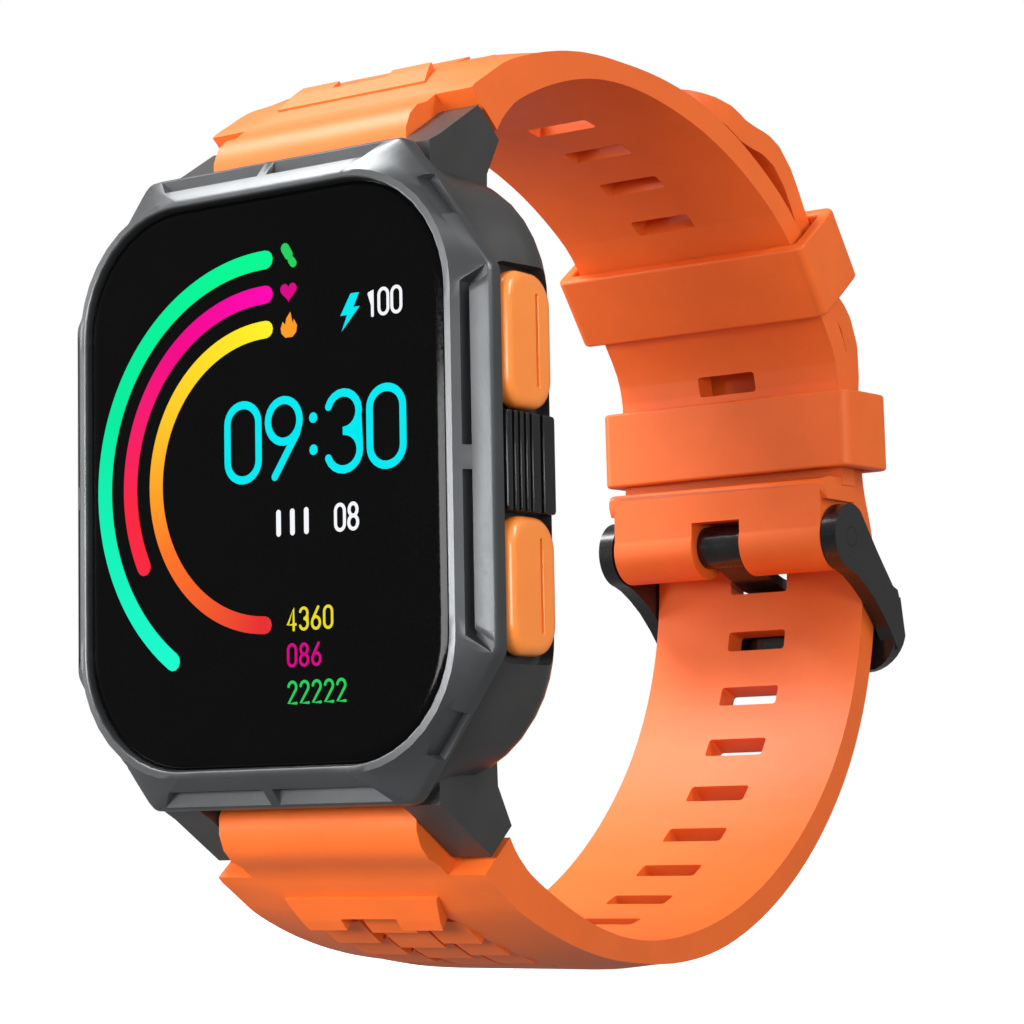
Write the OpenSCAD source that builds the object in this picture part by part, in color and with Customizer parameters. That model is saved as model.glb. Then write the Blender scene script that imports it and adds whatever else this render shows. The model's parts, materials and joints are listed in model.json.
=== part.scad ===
// Rugged running watch with a two-piece strap buckled into a loop.
// Depth is measured along +Y from the plane of the bezel's rim, towards the wrist.
// The origin is the middle of the sensor window's flat face, where the watch meets the wrist.

/* [Case] */
// Height of the bezel, twelve o'clock to six o'clock
case_h = 50; // [49.6:0.1:50.4]
// Width of the bezel, without the buttons
case_w = 41.2; // [41:0.1:41.6]
// Thickness from the rim to the back cover's face
case_t = 12.6; // [12.4:0.1:13]
// How far the sensor window stands out of the back cover
bump_h = 1; // [0.8:0.1:1.2]
// Cut taken off each corner across the width
corner_x = 7.8; // [7.4:0.1:8]
// Cut taken off each corner along the height
corner_z = 10.8; // [10.4:0.1:11]

/* [Display] */
// Width of the front glass
glass_w = 35.1; // [34.6:0.1:35.2]
// Height of the front glass
glass_h = 43.6; // [43:0.1:43.8]
// Corner radius of the front glass
glass_r = 9.3; // [8.8:0.1:9.6]

/* [Buttons] */
// Distance of each button from the middle of the case
button_z = 9.15; // [9.1:0.05:9.2]
// Length of a button cap
button_l = 10.3; // [10:0.1:10.4]
// Width of a button cap
button_d = 5.8; // [5.6:0.1:6]
// How far a button moves when it is pressed
button_travel = 0.4; // [0.3:0.05:0.4]

/* [Strap] */
// Gap between the two lugs of one end
lug_gap = 19.8; // [19.7:0.1:19.9]
// Width of the strap beside the lugs
strap_w = 26.4; // [26:0.1:26.6]
// Width of the long strap where it passes the buckle
tail_w = 22.6; // [22.4:0.1:22.6]
// Thickness of the thin part of both straps
strap_t = 2.4; // [2.3:0.05:2.4]
// Distance from one slot to the next
slot_pitch = 5.6; // [5.6:0.1:5.7]
// Length of a slot across the strap
slot_l = 6.2; // [5.6:0.1:6.4]
// Width of a slot along the strap
slot_w = 1.9; // [1.8:0.1:2]

/* [Hidden] */

rim_y = -(case_t + bump_h);
half_w = case_w / 2;
half_h = case_h / 2;

// Depths of the layers of the case
bezel_edge = 2.2;
bezel_back = 3.4;
glass_top = 0.4;
glass_t = 1.2;
seal_t = 0.25;
case_back = 12.1;
cover_top = case_t - 1.3;

// Hollow of the middle case
wall_w = 2.9;
wall_h = 2.2;
end_h = 22.5;

// Back cover's screws
screw_x = 12.2;
screw_z = 13.4;
boss_r = 2.4;

// Face of the main board that carries the parts
board_d = 8.2;

// Spring bars and lugs
bar_d = 9.7;
bar_z = 26.2;
lug_t = 3.6;
lug_in = lug_gap / 2;
lug_out = lug_in + lug_t;
barrel_r = 3.3;
tip_r = 0.45;
tube_r = 0.75;

// Buttons
button_face = half_w + 0.35;
cap_floor = half_w - 1.15;
recess_floor = cap_floor - button_travel - 0.05;
shaft_r = 0.9;
button_mid = 6.7;
clip_x = half_w - wall_w - 0.5;
run_gap = 0.04;

// Vibration motor, across the case
motor_x = -10.6;
motor_d = 6.5;
motor_z = 6.5;
motor_shaft_r = 0.35;

// Strap paths: the face that touches the wrist, as [length, turn] steps
short_start = [13.2, 26.6, 64.7];
short_path = [[6, -37.8], [43.6, -59.7], [5, -20], [9, 0], [5, -36.1], [9, 0]];
long_start = [13.2, -26.6, -64.9];
long_path = [[5.5, 34.2], [54.9, 79.6], [21.3, 39.5], [5, 23.7], [5, -20.1]];
short_end = 77.6;
long_end = 91.7;
thick_end = 24;
thick_extra = 2;
layer_gap = 0.3;
tail_s = [75.4, 33];
tail_t = 2.3;
panel_h = 1.5;
narrow_w = 24;

// Slots, as distances along each path
short_slot_s = 31.6;
short_slots = 8;
short_pitch = slot_pitch + 0.3;
long_slot_s = 81.2;
long_slots = 9;
tail_slots = 6;
tail_slot_s = 65.1;

// Keepers, as distances along the short strap's path
upper_keeper_s = 57.1;
lower_keeper_s = 72.4;
keeper_l = 7.2;
keeper_wall = 1.35;
keeper_side = 1.2;
keeper_gap = 0.3;

// Buckle
pin_d = 69.4;
pin_z = -0.45;
pin_r = 0.9;
roll_r = 3;
roll_w = 22.6;
arm_in = 11.5;
arm_out = 13;
hub_r = 2;
hub_w = 5.1;
tongue_w = 4.4;

// ---------------------------------------------------------------- helpers

function unit(v) = v / norm(v);

// Points of a corner p between a and b, rounded to radius r
function arc_corner(a, p, b, r, n = 6) =
  let (u = unit(a - p), v = unit(b - p), half = acos(u * v) / 2,
       mid = p + unit(u + v) * r / sin(half),
       from = p + u * r / tan(half) - mid, to = p + v * r / tan(half) - mid,
       a0 = atan2(from[1], from[0]), turn = atan2(from[0] * to[1] - from[1] * to[0], from * to))
  [for (i = [0:n]) mid + r * [cos(a0 + turn * i / n), sin(a0 + turn * i / n)]];

// A closed outline with every corner rounded
function rounded(points, r, n = 6) =
  let (last = len(points) - 1)
  [for (i = [0:last])
    for (q = arc_corner(points[i == 0 ? last : i - 1], points[i], points[i == last ? 0 : i + 1], r, n)) q];

// Rectangle and octagon about the middle
function box_points(hw, hh) = [[-hw, -hh], [hw, -hh], [hw, hh], [-hw, hh]];
function case_points(hw, hh) =
  let (x = hw - corner_x, z = hh - corner_z)
  [[-x, -hh], [x, -hh], [hw, -z], [hw, z], [x, hh], [-x, hh], [-hw, z], [-hw, -z]];

// Extrudes a front-view outline between two depths
module slab(d0, d1) {
  translate([0, rim_y + d1, 0]) rotate([90, 0, 0]) linear_extrude(d1 - d0) children();
}

// Extrudes a side-view outline of [depth, z] points across the width, between x0 and x1
module across(x0, x1) {
  translate([x0, rim_y, 0]) rotate([90, 0, 90]) linear_extrude(x1 - x0) children();
}

// A round rod across the width, and one along the depth
module rod_x(r, x0, x1, d, z) {
  translate([x0, rim_y + d, z]) rotate([0, 90, 0]) cylinder(h = x1 - x0, r = r, $fn = 48);
}
module rod_y(r, d0, d1, x, z) {
  translate([x, rim_y + d1, z]) rotate([90, 0, 0]) cylinder(h = d1 - d0, r = r, $fn = 48);
}

// A block given by its corners, with depths in place of y
module block(x0, x1, d0, d1, z0, z1) {
  translate([x0, rim_y + d0, z0]) cube([x1 - x0, d1 - d0, z1 - z0]);
}

// Wedge cutters that slope the eight sides of the case from in_by inside its edge at depth d_flat
module slope_cut(hw, hh, d_edge, d_flat, in_by) {
  points = case_points(hw, hh);
  angle = atan2(in_by, abs(d_flat - d_edge));
  for (i = [0:7]) {
    a = points[i];
    b = points[(i + 1) % 8];
    mid = (a + b) / 2;
    out = atan2(b[1] - a[1], b[0] - a[0]) - 90;
    translate([mid[0], rim_y + d_edge, mid[1]])
      rotate([0, -out, 0])
        rotate([0, 0, d_flat > d_edge ? angle : -angle])
          translate([0, d_flat > d_edge ? -1 : -11, -30]) cube([12, 12, 60]);
  }
}

// Pose [depth, z, heading] after s millimetres of a path
function step_pose(p, s, seg) =
  let (k = seg[1] / seg[0], h = p[2] + k * s)
  k == 0
    ? [p[0] + s * cos(h), p[1] + s * sin(h), h]
    : let (r = 180 / (PI * k)) [p[0] + r * (sin(h) - sin(p[2])), p[1] - r * (cos(h) - cos(p[2])), h];
function pose(path, p, s, i = 0) =
  (i == len(path) - 1 || s <= path[i][0])
    ? step_pose(p, s, path[i])
    : pose(path, step_pose(p, path[i][0], path[i]), s - path[i][0], i + 1);

// Point at s, moved out from the wrist; side is 1 for the short strap and -1 for the long one
function off_point(p, out, side) = [p[0] - side * out * sin(p[2]), p[1] + side * out * cos(p[2])];
function short_point(s, out) = off_point(pose(short_path, short_start, s), out, 1);
function long_point(s, out) = off_point(pose(long_path, long_start, s), out, -1);

// Thickness of the straps: thick at the lugs and even after thick_end
function thickness(s) = strap_t + (s < thick_end ? thick_extra * pow(1 - s / thick_end, 1.5) : 0);

// Half the strap's width at a depth
function half_width(d, end_w) =
  let (u = min(max((d - 18) / 26, 0), 1)) strap_w / 2 - (strap_w - end_w) / 2 * u * u * (3 - 2 * u);

// Shape seen from above that narrows a strap away from the lugs
module width_plan(end_w, far_w, far_d) {
  steps = [for (d = [2:4:58]) d];
  side = concat([for (d = steps) [half_width(d, end_w), d]], [[far_w / 2, far_d], [far_w / 2, 84]]);
  mirrored = [for (i = [len(side) - 1:-1:0]) [-side[i][0], side[i][1]]];
  translate([0, rim_y, -60]) linear_extrude(120) polygon(concat(side, mirrored));
}

// ---------------------------------------------------------------- case

module bezel() {
  color([0.33, 0.34, 0.36]) difference() {
    slab(0, bezel_back) polygon(rounded(case_points(half_w, half_h), 2, 3));
    slope_cut(half_w, half_h, bezel_edge, 0, 2.7);
    slab(-1, 0.25) polygon(rounded(box_points(glass_w / 2 + 0.45, glass_h / 2 + 0.45), glass_r + 0.4, 8));
    slab(-1, glass_top + glass_t + seal_t)
      polygon(rounded(box_points(glass_w / 2 + 0.1, glass_h / 2 + 0.1), glass_r + 0.1, 8));
    slab(1, bezel_back + 1) polygon(rounded(box_points(glass_w / 2 - 0.8, glass_h / 2 - 0.8), glass_r - 0.8, 8));
    // Shallow channels along the two sides, the top and the bottom, each with a bridge in the middle
    for (side = [-1, 1], half = [-1, 1]) {
      bezel_channel(side * 19.2, half * 6.8, 0.6, 11.6);
      bezel_channel(half * 5.6, side * 23.8, 9.8, 0.8);
    }
  }
}

module bezel_channel(x, z, w, h) {
  block(x - w / 2, x + w / 2, -1, 1.9, z - h / 2, z + h / 2);
}

module front_glass() {
  color([0.02, 0.02, 0.03]) {
    slab(glass_top + 0.35, glass_top + glass_t)
      polygon(rounded(box_points(glass_w / 2, glass_h / 2), glass_r, 8));
    slab(glass_top, glass_top + 0.35)
      polygon(rounded(box_points(glass_w / 2 - 0.4, glass_h / 2 - 0.4), glass_r - 0.4, 8));
  }
}

module glass_seal() {
  color([0.1, 0.1, 0.1]) difference() {
    slab(glass_top + glass_t, glass_top + glass_t + seal_t)
      polygon(rounded(box_points(glass_w / 2, glass_h / 2), glass_r, 8));
    slab(0, 5) polygon(rounded(box_points(glass_w / 2 - 0.9, glass_h / 2 - 0.9), glass_r - 0.9, 8));
  }
}

module display_panel() {
  color([0.05, 0.05, 0.08])
    slab(glass_top + glass_t + 0.02, bezel_back - 0.2)
      polygon(rounded(box_points(glass_w / 2 - 1, glass_h / 2 - 1), glass_r - 1, 8));
}

// Outline of one lug seen from the side; grow clears it for the strap
module lug_outline(grow = 0) {
  polygon([[4.4 - grow, 19], [4.4 - grow, 25 + grow / 2], [5.6 - grow / 2, 25.6 + grow],
           [10.8, 28.9 + grow * 1.2], [13.5 + grow, 26.6], [11.8 + grow, 23.6], [11.4 + grow, 19]]);
}

module mid_case() {
  color([0.16, 0.16, 0.17]) {
    case_shell();
    for (x = [-screw_x, screw_x], z = [-screw_z, screw_z]) {
      difference() {
        rod_y(boss_r, 9.15, cover_top - 0.5, x, z);
        rod_y(0.52, 5, cover_top, x, z);
      }
    }
  }
}

// The case without the bosses for the back cover's screws
module case_shell() {
  difference() {
    union() {
      slab(bezel_back, case_back) polygon(rounded(case_points(half_w, half_h - 0.4), 2, 3));
      for (side = [-1, 1], end = [0, 1]) {
        mirror([0, 0, end])
          across(side > 0 ? lug_in : -lug_out, side > 0 ? lug_out : -lug_in) lug_outline();
      }
    }
    // Rear slope of the sides, kept off the lugs
    difference() {
      slope_cut(half_w, half_h - 0.4, 9.6, case_back + 0.4, 2.6);
      for (side = [-1, 1], end = [0, 1]) {
        mirror([0, 0, end])
          across(side > 0 ? lug_in : -lug_out, side > 0 ? lug_out : -lug_in) lug_outline();
      }
    }
    // Hollow for the works, and the seat of the back cover
    slab(bezel_back - 1, cover_top + 0.1) polygon(rounded(case_points(half_w - wall_w, end_h - wall_h), 1.5, 3));
    slab(cover_top - 0.5, case_back + 1) polygon(rounded(case_points(half_w - 2.6, end_h - 1.4), 1.5, 3));
    for (end = [-1, 1]) {
      // Space for the strap's barrel between the lugs
      block(-lug_in, lug_in, 5.2, case_back + 1, end > 0 ? end_h : -30, end > 0 ? 30 : -end_h);
      for (side = [-1, 1]) {
        // Holes for the spring bar's tips
        rod_x(tip_r + run_gap, side > 0 ? lug_in - 1 : -lug_in - 2.4, side > 0 ? lug_in + 2.4 : -lug_in + 1,
              bar_d, end * bar_z);
      }
    }
    // Recess for the buttons and the block between them
    block(recess_floor, half_w + 1, bezel_back + 0.1, 9.9, -14.7, 14.7);
    for (z = [-button_z, button_z]) {
      rod_x(shaft_r + run_gap, half_w - wall_w - 1, half_w, button_mid, z);
      rod_x(1.6, recess_floor - 0.7, half_w, button_mid, z);
      rod_x(1.75, clip_x - 1.5, half_w - wall_w + 0.02, button_mid, z);
    }
  }
}

// Ribbed block between the buttons
module side_block() {
  color([0.12, 0.12, 0.12]) difference() {
    block(recess_floor, half_w + 0.1, bezel_back + 0.2, 9.8, -3.6, 3.6);
    for (d = [4.2:0.7:6.4]) {
      block(half_w - 0.4, half_w + 1, d, d + 0.3, -4, 4);
    }
    block(half_w - 0.5, half_w + 1, 7.9, 8.3, -4, 4);
  }
}

// ---------------------------------------------------------------- buttons

module button(z) {
  difference() {
    union() {
      translate([cap_floor, 0, z]) rotate([90, 0, 90]) linear_extrude(button_face - cap_floor)
        polygon([for (p = rounded(box_points(button_d / 2, button_l / 2), 2.2, 6)) p + [rim_y + button_mid, 0]]);
      rod_x(shaft_r, recess_floor - 2.6, cap_floor + 0.2, button_mid, z);
    }
    // Grip groove along the cap
    block(button_face - 0.3, button_face + 1, button_mid + 0.6, button_mid + 0.9, z - 3.4, z + 3.4);
    // Groove of the retaining clip
    difference() {
      rod_x(shaft_r + 1, clip_x, clip_x + 0.35, button_mid, z);
      rod_x(shaft_r - 0.25, clip_x - 1, clip_x + 1, button_mid, z);
    }
  }
}

module upper_button() {
  color([1, 0.55, 0.2]) button(button_z);
}

module lower_button() {
  color([1, 0.55, 0.2]) button(-button_z);
}

// Open clip that stops the button from leaving the case
module clip(z) {
  difference() {
    rod_x(1.5, clip_x + 0.05, clip_x + 0.3, button_mid, z);
    rod_x(shaft_r - 0.2, clip_x - 1, clip_x + 1, button_mid, z);
    block(clip_x - 1, clip_x + 1, button_mid - 0.5, button_mid + 0.5, z - 2, z);
  }
}

module upper_clip() {
  color([0.7, 0.7, 0.72]) clip(button_z);
}

module lower_clip() {
  color([0.7, 0.7, 0.72]) clip(-button_z);
}

// Rubber rings around the shafts, in the counterbores of the case
module button_seals() {
  color([0.15, 0.15, 0.15])
    for (z = [-button_z, button_z]) {
      difference() {
        rod_x(1.55, recess_floor - 0.65, recess_floor - 0.1, button_mid, z);
        rod_x(shaft_r + run_gap, recess_floor - 2, recess_floor + 1, button_mid, z);
      }
    }
}

// Narrow circuit board with the two push switches behind the buttons
module key_board() {
  switch_face = recess_floor - 2.6 - button_travel - 0.1;
  color([0.1, 0.35, 0.2]) {
    block(switch_face - 1, switch_face - 0.5, 4.6, 9.6, -11.4, 11.4);
    for (z = [-button_z, button_z]) {
      block(switch_face - 0.5, switch_face - 0.2, button_mid - 1.6, button_mid + 1.6, z - 1.6, z + 1.6);
      rod_x(0.8, switch_face - 0.2, switch_face, button_mid, z);
    }
  }
}

// ---------------------------------------------------------------- works

// Keeps a piece of the works clear of the hollow's walls
module inside() {
  intersection() {
    children();
    slab(bezel_back, cover_top)
      polygon(rounded(case_points(half_w - wall_w - 0.3, end_h - wall_h - 0.3), 1.2, 3));
  }
}

module inner_frame() {
  color([0.55, 0.56, 0.58]) difference() {
    inside() slab(bezel_back + 0.1, bezel_back + 0.7) square([31, 40], center = true);
    // Opening for the display's cable, and the holes of its screws
    block(-9, 1, 0, 6, 8, 14);
    for (x = [-12, 12], z = [-13.5, 0, 13.5]) {
      rod_y(0.6, 2, 6, x, z);
    }
  }
}

module main_board() {
  color([0.06, 0.3, 0.16]) difference() {
    inside() block(-15, 14, board_d, board_d + 0.8, 0.6, 19.6);
    for (x = [-13.6, 12.6], z = [2, 12.4]) {
      rod_y(0.6, 8, 10, x, z);
    }
  }
}

module shield_can() {
  color([0.75, 0.76, 0.78]) difference() {
    block(-5.6, 11.4, 6.6, board_d, 2.2, 12.8);
    block(-5.4, 11.2, 6.8, board_d + 0.1, 2.4, 12.6);
  }
}

module battery() {
  color([0.6, 0.62, 0.64]) inside() block(-14, 14, 4.5, 9, -19, -0.6);
}

module speaker() {
  color([0.2, 0.2, 0.2]) {
    block(-9, 3, 4.5, 7.2, 14.4, 19.2);
    block(-7, 1, 7.2, board_d, 15.4, 18.2);
  }
}

module microphone() {
  color([0.8, 0.75, 0.5]) difference() {
    block(-12.6, -10.2, 7.2, board_d, 13.4, 15.8);
    rod_y(0.3, 6, 7.7, -11.4, 14.6);
  }
}

module gps_antenna() {
  color([0.8, 0.78, 0.7]) {
    block(3.8, 10.4, 5.8, board_d, 13.6, 19);
    block(4.4, 9.8, 5.7, 5.8, 14.2, 18.4);
  }
}

module motor_housing() {
  color([0.7, 0.7, 0.72]) difference() {
    rod_x(1.7, motor_x, motor_x + 4.4, motor_d, motor_z);
    rod_x(motor_shaft_r + run_gap, motor_x - 1, motor_x + 3.4, motor_d, motor_z);
  }
}

// Eccentric weight on its shaft
module motor_weight() {
  color([0.6, 0.58, 0.5]) {
    rod_x(motor_shaft_r, motor_x - 3.4, motor_x + 3.2, motor_d, motor_z);
    difference() {
      rod_x(1.6, motor_x - 3.4, motor_x - 0.4, motor_d, motor_z);
      block(motor_x - 5, motor_x, motor_d - 2, motor_d + 2, motor_z + 0.4, motor_z + 3);
    }
  }
}

module sensor_board() {
  color([0.05, 0.25, 0.15]) {
    rod_y(7.2, 9.9, 10.5, 0, 0);
    for (a = [0:90:270]) {
      translate([4.2 * cos(a), 0, 4.2 * sin(a)]) block(-0.9, 0.9, 10.5, 11.1, -0.9, 0.9);
    }
    block(-1.3, 1.3, 10.5, 11.1, -1.3, 1.3);
  }
}

module back_seal() {
  color([0.1, 0.1, 0.1]) difference() {
    slab(cover_top - 0.5, cover_top) polygon(rounded(case_points(half_w - 2.7, end_h - 1.5), 1.5, 3));
    slab(5, 15) polygon(rounded(case_points(half_w - 3.6, end_h - 2.4), 1.5, 3));
  }
}

module back_cover() {
  color([0.13, 0.13, 0.14]) difference() {
    slab(cover_top, case_t) polygon(rounded(case_points(half_w - 2.7, end_h - 1.5), 1.5, 3));
    rod_y(9.2, cover_top - 1, case_t + 1, 0, 0);
    for (x = [-screw_x, screw_x], z = [-screw_z, screw_z]) {
      rod_y(0.55, 5, case_t + 1, x, z);
      rod_y(1.1, case_t - 0.7, case_t + 1, x, z);
    }
    for (x = [-1.6, 1.6]) {
      rod_y(0.8, 5, case_t + 1, x, -14.6);
    }
  }
}

module sensor_window() {
  color([0.05, 0.05, 0.06]) {
    rod_y(9.18, cover_top, case_t, 0, 0);
    translate([0, rim_y + case_t + bump_h, 0]) rotate([90, 0, 0]) cylinder(h = bump_h, r1 = 7.6, r2 = 9, $fn = 64);
  }
}

module charging_contacts() {
  color([0.85, 0.7, 0.35])
    for (x = [-1.6, 1.6]) {
      rod_y(0.78, cover_top, case_t, x, -14.6);
    }
}

module back_screws() {
  color([0.5, 0.5, 0.52])
    for (x = [-screw_x, screw_x], z = [-screw_z, screw_z]) {
      difference() {
        union() {
          rod_y(1.05, case_t - 0.65, case_t - 0.05, x, z);
          rod_y(0.5, cover_top - 1.8, case_t - 0.5, x, z);
        }
        translate([x, rim_y + case_t + 0.1, z]) rotate([90, 0, 0]) cylinder(h = 0.5, r = 0.45, $fn = 6);
      }
    }
}

// ---------------------------------------------------------------- spring bars

// Tube with a bore at each end for the sprung tips
module bar_tube(end) {
  difference() {
    rod_x(tube_r, 0.4 - lug_in, lug_in - 0.4, bar_d, end * bar_z);
    for (side = [-1, 1]) {
      rod_x(0.5, side > 0 ? lug_in - 4.6 : -lug_in, side > 0 ? lug_in : 4.6 - lug_in, bar_d, end * bar_z);
    }
  }
}

module top_bar() {
  color([0.75, 0.76, 0.78]) bar_tube(1);
}

module bottom_bar() {
  color([0.75, 0.76, 0.78]) bar_tube(-1);
}

module bar_tip(side, end) {
  color([0.8, 0.8, 0.82]) rod_x(tip_r, side > 0 ? lug_in - 2.6 : -lug_in - 1.1, side > 0 ? lug_in + 1.1 : 2.6 - lug_in,
    bar_d, end * bar_z);
}

module top_left_tip() {
  bar_tip(-1, 1);
}

module top_right_tip() {
  bar_tip(1, 1);
}

module bottom_left_tip() {
  bar_tip(-1, -1);
}

module bottom_right_tip() {
  bar_tip(1, -1);
}

// ---------------------------------------------------------------- straps

// End of a strap around its spring bar, joined to the start of its path
module strap_end(end) {
  across(0.15 - lug_in, lug_in - 0.15) {
    translate([bar_d, end * bar_z]) circle(r = barrel_r, $fn = 48);
    polygon([[bar_d - 1, end * (bar_z + 1)], [bar_d + 1, end * (bar_z - 1)], short_mirror(short_point(0, 0), end),
             short_mirror(short_point(2, thickness(2)), end), short_mirror(short_point(0, thickness(0)), end),
             [bar_d - 0.6, end * (bar_z + barrel_r)]]);
  }
}
function short_mirror(p, end) = [p[0], end * abs(p[1])];

// Everything that the strap must leave free beside the lugs
module lug_clearance(end) {
  for (side = [-1, 1]) {
    mirror([0, 0, end > 0 ? 0 : 1])
      across(side > 0 ? lug_in - 0.15 : -20, side > 0 ? 20 : 0.15 - lug_in) {
        lug_outline(0.35);
        polygon([[2, 15], [10.5, 15], [10.5, 29], [10.5, 40], [2, 40]]);
      }
  }
}

// Slots at distances s along a path, each square to the strap
module slot_cut(p, side) {
  translate([0, rim_y + p[0], p[1]]) rotate([p[2], 0, 0])
    translate([0, 0, side * strap_t / 2]) rotate([0, 0, 90])
      linear_extrude(strap_t + 6, center = true)
        polygon(rounded(box_points(slot_w / 2, slot_l / 2), 0.5, 3));
}

// Raised panel with three rows of tread blocks on the outside of a strap
module tread_panel(end) {
  rows = [[1.6, 7.4, 14.6], [8, 11.4, 13.8], [12, 15.4, 13], [16, 19, 12]];
  for (row = rows) {
    across(-row[2] / 2, row[2] / 2)
      polygon([panel_point(row[0], -1, end), panel_point(row[0], 0, end),
               panel_point((row[0] + row[1]) / 2, panel_h, end),
               panel_point(row[1] - 0.2, panel_h, end), panel_point(row[1], -1, end)]);
  }
  // Web between the rows
  across(-6.2, 6.2)
    polygon(concat([for (s = [4:3:19]) panel_point(s, panel_h * 0.55, end)],
                   [for (s = [19:-3:4]) panel_point(s, -1, end)]));
}
function panel_point(s, out, end) =
  end > 0 ? short_point(s, thickness(s) + out) : long_point(s, thickness(s) + out);

module short_strap() {
  color([0.93, 0.42, 0.18]) difference() {
    union() {
      intersection() {
        across(-15, 15) polygon(concat(
          [for (s = [0:2.4:short_end]) short_point(s, 0)], [short_point(short_end, 0)],
          [short_point(short_end, strap_t)],
          [for (s = [short_end - 0.2:-2.4:0]) short_point(s, thickness(s))]));
        width_plan(23, narrow_w, 66);
      }
      strap_end(1);
      tread_panel(1);
      // Rolled end around the buckle's bar
      across(-roll_w / 2, roll_w / 2) {
        translate([pin_d, pin_z]) circle(r = roll_r, $fn = 48);
        polygon([short_point(short_end - 0.6, 0), short_point(short_end - 0.6, strap_t),
                 [pin_d + roll_r, pin_z], [pin_d - roll_r, pin_z], [pin_d - roll_r + 0.3, pin_z + 4.6],
                 [pin_d - roll_r + 1.2, pin_z + 5.3]]);
      }
    }
    lug_clearance(1);
    rod_x(tube_r + 0.02, -12, 12, bar_d, bar_z);
    rod_x(pin_r + 0.02, -15, 15, pin_d, pin_z);
    for (i = [0:short_slots - 1]) {
      slot_cut(pose(short_path, short_start, short_slot_s + i * short_pitch), 1);
    }
    // Room for the tongue's hub and for the round heads of the buckle's arms
    block(-hub_w / 2 - 0.15, hub_w / 2 + 0.15, pin_d - 5, pin_d + 5, pin_z - 5, pin_z + hub_r + 0.8);
    for (side = [-1, 1]) {
      rod_x(roll_r + 0.45, side > 0 ? arm_in - 0.15 : -15, side > 0 ? 15 : 0.15 - arm_in, pin_d, pin_z);
      block(side > 0 ? arm_in - 0.15 : -15, side > 0 ? 15 : 0.15 - arm_in, pin_d, pin_d + 6, pin_z - 6, pin_z + 2);
    }
  }
}

module long_strap() {
  inner = concat([for (s = [0:2.4:long_end]) long_point(s, 0)],
                 [for (s = [tail_s[0]:-2.4:tail_s[1]]) short_point(s, thickness(s) + layer_gap)]);
  outer = concat([for (s = [0:2.4:long_end]) long_point(s, thickness(s) + 0.2 * min(s / thick_end, 1) * max(0, 1 - s / 80))],
                 [for (s = [tail_s[0]:-2.4:tail_s[1]])
                   short_point(s, thickness(s) + layer_gap + tail_t * min(1, 0.45 + (s - tail_s[1]) / 14))]);
  color([0.93, 0.42, 0.18]) difference() {
    union() {
      intersection() {
        across(-15, 15) polygon(concat(inner, [for (i = [len(outer) - 1:-1:0]) outer[i]]));
        width_plan(tail_w, tail_w, 66);
      }
      strap_end(-1);
      tread_panel(-1);
    }
    lug_clearance(-1);
    rod_x(tube_r + 0.02, -12, 12, bar_d, -bar_z);
    for (i = [0:long_slots - 1]) {
      slot_cut(pose(long_path, long_start, long_slot_s - i * slot_pitch), -1);
    }
    for (i = [0:tail_slots - 1]) {
      slot_cut(pose(short_path, short_start, tail_slot_s - i * short_pitch), 1);
    }
  }
}

// ---------------------------------------------------------------- keepers and buckle

// A flat loop around both layers of the strap
module keeper(s) {
  p = pose(short_path, short_start, s);
  inner_w = narrow_w / 2 + keeper_gap;
  outer_w = inner_w + keeper_side;
  low = -keeper_gap;
  high = strap_t + layer_gap + tail_t + keeper_gap;
  translate([0, rim_y + p[0], p[1]]) rotate([p[2], 0, 0]) translate([0, -keeper_l / 2, 0])
    rotate([-90, 0, 0]) linear_extrude(keeper_l) difference() {
      polygon([for (q = rounded([[-outer_w, low - keeper_wall], [outer_w, low - keeper_wall],
                                 [outer_w, high + keeper_wall], [-outer_w, high + keeper_wall]], 0.8, 3)) [q[0], -q[1]]]);
      polygon([[-inner_w, -low], [inner_w, -low], [inner_w, -high], [-inner_w, -high]]);
    }
}

module upper_keeper() {
  color([0.95, 0.45, 0.2]) keeper(upper_keeper_s);
}

module lower_keeper() {
  color([0.95, 0.45, 0.2]) keeper(lower_keeper_s);
}

module buckle_bar() {
  color([0.3, 0.31, 0.32]) rod_x(pin_r, -arm_out, arm_out, pin_d, pin_z);
}

// Side view of one arm, from its round head to the outer bar
module arm_outline() {
  translate([pin_d, pin_z]) circle(r = roll_r, $fn = 48);
  polygon(concat([[pin_d + 1.9, pin_z + 2.3], [77.2, -4.5]],
                 [[78.3, -5], [79.3, -9.2], [77.8, -10.4]],
                 [[76.6, -8.6], [72, -5.2], [pin_d - 0.6, pin_z - 2.9]]));
}

module buckle_frame() {
  color([0.1, 0.1, 0.11]) difference() {
    union() {
      for (side = [-1, 1]) {
        across(side > 0 ? arm_in : -arm_out, side > 0 ? arm_out : -arm_in) arm_outline();
      }
      // Outer bar, a plate with rounded lower corners that lies along the strap
      intersection() {
        across(-arm_out, arm_out)
          polygon([[77.3, -5.4], [78.5, -5.4], [79.3, -9.2], [77.7, -12.6], [76.2, -12.2], [77.1, -8.6]]);
        translate([0, rim_y + 90, 0]) rotate([90, 0, 0]) linear_extrude(30)
          polygon(rounded([[-arm_out, -12.6], [arm_out, -12.6], [arm_out, 0], [-arm_out, 0]], 3.2, 6));
      }
    }
    rod_x(pin_r + run_gap, -15, 15, pin_d, pin_z);
    // Seat of the tongue's tip
    block(-tongue_w / 2 - 0.3, tongue_w / 2 + 0.3, 78.6, 82, -9, -4);
  }
}

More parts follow.
